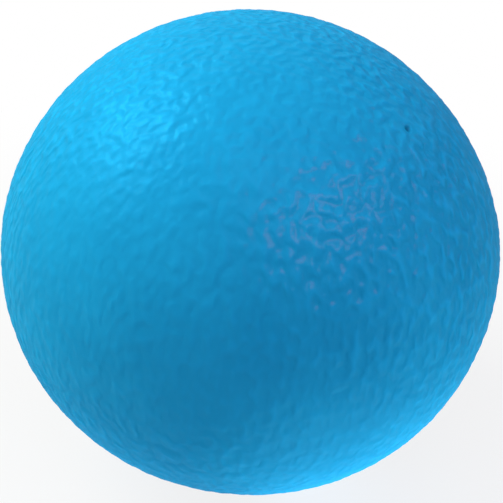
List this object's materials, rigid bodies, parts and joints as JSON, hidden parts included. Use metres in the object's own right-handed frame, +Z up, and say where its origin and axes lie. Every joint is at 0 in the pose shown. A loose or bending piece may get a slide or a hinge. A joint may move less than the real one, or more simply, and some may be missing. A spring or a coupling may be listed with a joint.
{
  "type": "inflatable therapy ball",
  "caption": "Soft inflatable ball with a grained satin skin, slightly flattened at rest, closed by a push-in stopper in a valve seat.",
  "frame": {"origin": "middle of the flat patch that the ball rests on", "axes": "+Z up from the surface it rests on, through the ball's middle; +Y towards the valve; +X completes the set"},
  "size_m": [0.22, 0.2197, 0.2095],
  "materials": {
    "skin": "satin soft PVC with a fine wrinkled grain",
    "seat": "smooth stiff PVC",
    "stopper": "smooth moulded polyethylene"
  },
  "bodies": {
    "ball": {"ball_skin": "skin", "valve_seat": "seat"},
    "stopper": {"valve_stopper": "stopper"}
  },
  "joints": [
    {"name": "stopper_pull", "type": "slide", "parent": "ball", "child": "stopper", "axis": [0, 1, 0], "range_m": [0, 0.034]}
  ]
}
